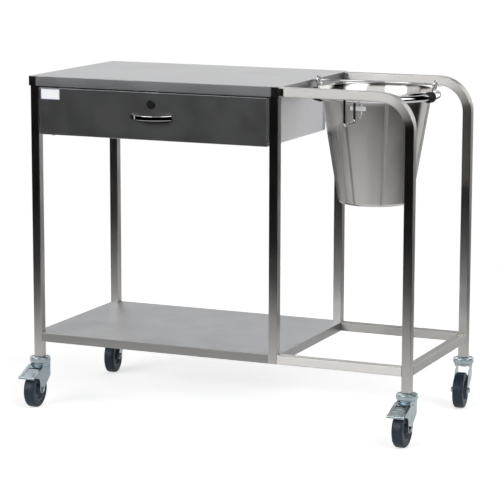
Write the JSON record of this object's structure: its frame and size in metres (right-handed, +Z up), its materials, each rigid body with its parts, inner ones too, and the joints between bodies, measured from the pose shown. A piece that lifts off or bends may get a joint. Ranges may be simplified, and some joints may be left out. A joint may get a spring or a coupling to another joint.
{
  "type": "ward trolley",
  "caption": "Stainless-steel ward trolley with a lockable drawer under the table top, a lower shelf, castors, and a lift-out bucket hanging in a ring at one end.",
  "frame": {"origin": "on the floor under the centre of the bounding box", "axes": "+X along the trolley towards the bucket, -Y towards the drawer front, +Z up"},
  "size_m": [1.1558, 0.6002, 0.9405],
  "materials": {
    "brushed_frame_steel": "satin, brushed along the tube",
    "sheet_steel": "satin sheet",
    "dark_steel": "satin sheet, dark",
    "bucket_steel": "fine satin, bright inside",
    "chrome": "polished",
    "zinc": "bright zinc plating",
    "black_rubber": "ribbed, dull",
    "tyre_rubber": "smooth, dull",
    "hub_plastic": "moulded",
    "lock_black": "black",
    "blank_label": "plain white"
  },
  "bodies": {
    "frame": {"leg_front_left": "brushed_frame_steel", "leg_rear_left": "brushed_frame_steel", "post_mid_front": "brushed_frame_steel", "post_mid_rear": "brushed_frame_steel", "bent_leg_front": "brushed_frame_steel", "bent_leg_rear": "brushed_frame_steel", "rail_front": "brushed_frame_steel", "rail_rear": "brushed_frame_steel", "rail_right": "brushed_frame_steel", "table_top": "sheet_steel", "lower_shelf": "sheet_steel", "drawer_housing": "dark_steel", "lock_strike": "zinc", "side_panel_left": "sheet_steel", "side_panel_right": "sheet_steel", "runner_left": "zinc", "runner_right": "zinc", "bucket_ring": "chrome", "ring_sleeve_left": "black_rubber", "ring_sleeve_right": "black_rubber", "ring_bracket_front": "chrome", "ring_bracket_rear": "chrome", "castor_stem_front_left": "zinc", "castor_stem_front_right": "zinc", "castor_stem_rear_left": "zinc", "castor_stem_rear_right": "zinc"},
    "drawer": {"drawer_front": "dark_steel", "drawer_tray": "sheet_steel", "drawer_handle": "chrome", "drawer_label": "blank_label", "slide_left": "zinc", "slide_right": "zinc", "lock_barrel": "lock_black"},
    "lock": {"lock_plug": "lock_black", "lock_cam": "zinc"},
    "bucket": {"bucket": "bucket_steel", "bucket_ear_left": "chrome", "bucket_ear_right": "chrome", "bucket_label": "blank_label"},
    "bail": {"bucket_bail": "chrome"},
    "castor_front_left": {"castor_fork_front_left": "zinc", "castor_axle_front_left": "zinc", "brake_pin_front_left": "zinc"},
    "wheel_front_left": {"castor_hub_front_left": "hub_plastic", "castor_tyre_front_left": "tyre_rubber"},
    "pedal_front_left": {"brake_pedal_front_left": "zinc"},
    "castor_front_right": {"castor_fork_front_right": "zinc", "castor_axle_front_right": "zinc", "brake_pin_front_right": "zinc"},
    "wheel_front_right": {"castor_hub_front_right": "hub_plastic", "castor_tyre_front_right": "tyre_rubber"},
    "pedal_front_right": {"brake_pedal_front_right": "zinc"},
    "castor_rear_left": {"castor_fork_rear_left": "zinc", "castor_axle_rear_left": "zinc"},
    "wheel_rear_left": {"castor_hub_rear_left": "hub_plastic", "castor_tyre_rear_left": "tyre_rubber"},
    "castor_rear_right": {"castor_fork_rear_right": "zinc", "castor_axle_rear_right": "zinc"},
    "wheel_rear_right": {"castor_hub_rear_right": "hub_plastic", "castor_tyre_rear_right": "tyre_rubber"}
  },
  "joints": [
    {"name": "drawer_slide", "type": "slide", "parent": "frame", "child": "drawer", "axis": [0, -1, 0], "range_m": [0, 0.3]},
    {"name": "lock_turn", "type": "hinge", "parent": "drawer", "child": "lock", "pos_m": [-0.19147, -0.21715, 0.867], "axis": [0, -1, 0], "range_deg": [0, 90]},
    {"name": "bucket_lift", "type": "slide", "parent": "frame", "child": "bucket", "axis": [0, 0, 1], "range_m": [0, 0.34]},
    {"name": "bail_swing", "type": "hinge", "parent": "bucket", "child": "bail", "pos_m": [0.36253, 0.03385, 0.926], "axis": [1, 0, 0], "range_deg": [0, 190]},
    {"name": "swivel_front_left", "type": "hinge", "parent": "frame", "child": "castor_front_left", "pos_m": [-0.54897, -0.20365, 0.128], "axis": [0, 0, 1], "continuous": true},
    {"name": "roll_front_left", "type": "hinge", "parent": "castor_front_left", "child": "wheel_front_left", "pos_m": [-0.54646, -0.23957, 0.05], "axis": [0.9976, 0.0698, 0], "continuous": true},
    {"name": "brake_front_left", "type": "hinge", "parent": "castor_front_left", "child": "pedal_front_left", "pos_m": [-0.54758, -0.2236, 0.112], "axis": [0.9976, 0.0698, 0], "range_deg": [0, 7]},
    {"name": "swivel_front_right", "type": "hinge", "parent": "frame", "child": "castor_front_right", "pos_m": [0.54603, -0.20365, 0.128], "axis": [0, 0, 1], "continuous": true},
    {"name": "roll_front_right", "type": "hinge", "parent": "castor_front_right", "child": "wheel_front_right", "pos_m": [0.54665, -0.23965, 0.05], "axis": [0.9998, 0.0175, 0], "continuous": true},
    {"name": "brake_front_right", "type": "hinge", "parent": "castor_front_right", "child": "pedal_front_right", "pos_m": [0.54638, -0.22365, 0.112], "axis": [0.9998, 0.0175, 0], "range_deg": [0, 7]},
    {"name": "swivel_rear_left", "type": "hinge", "parent": "frame", "child": "castor_rear_left", "pos_m": [-0.54897, 0.27135, 0.128], "axis": [0, 0, 1], "continuous": true},
    {"name": "roll_rear_left", "type": "hinge", "parent": "castor_rear_left", "child": "wheel_rear_left", "pos_m": [-0.54272, 0.23589, 0.05], "axis": [0.9848, 0.1736, 0], "continuous": true},
    {"name": "swivel_rear_right", "type": "hinge", "parent": "frame", "child": "castor_rear_right", "pos_m": [0.54603, 0.27135, 0.128], "axis": [0, 0, 1], "continuous": true},
    {"name": "roll_rear_right", "type": "hinge", "parent": "castor_rear_right", "child": "wheel_rear_right", "pos_m": [0.55041, 0.23561, 0.05], "axis": [0.9925, 0.1219, 0], "continuous": true}
  ]
}
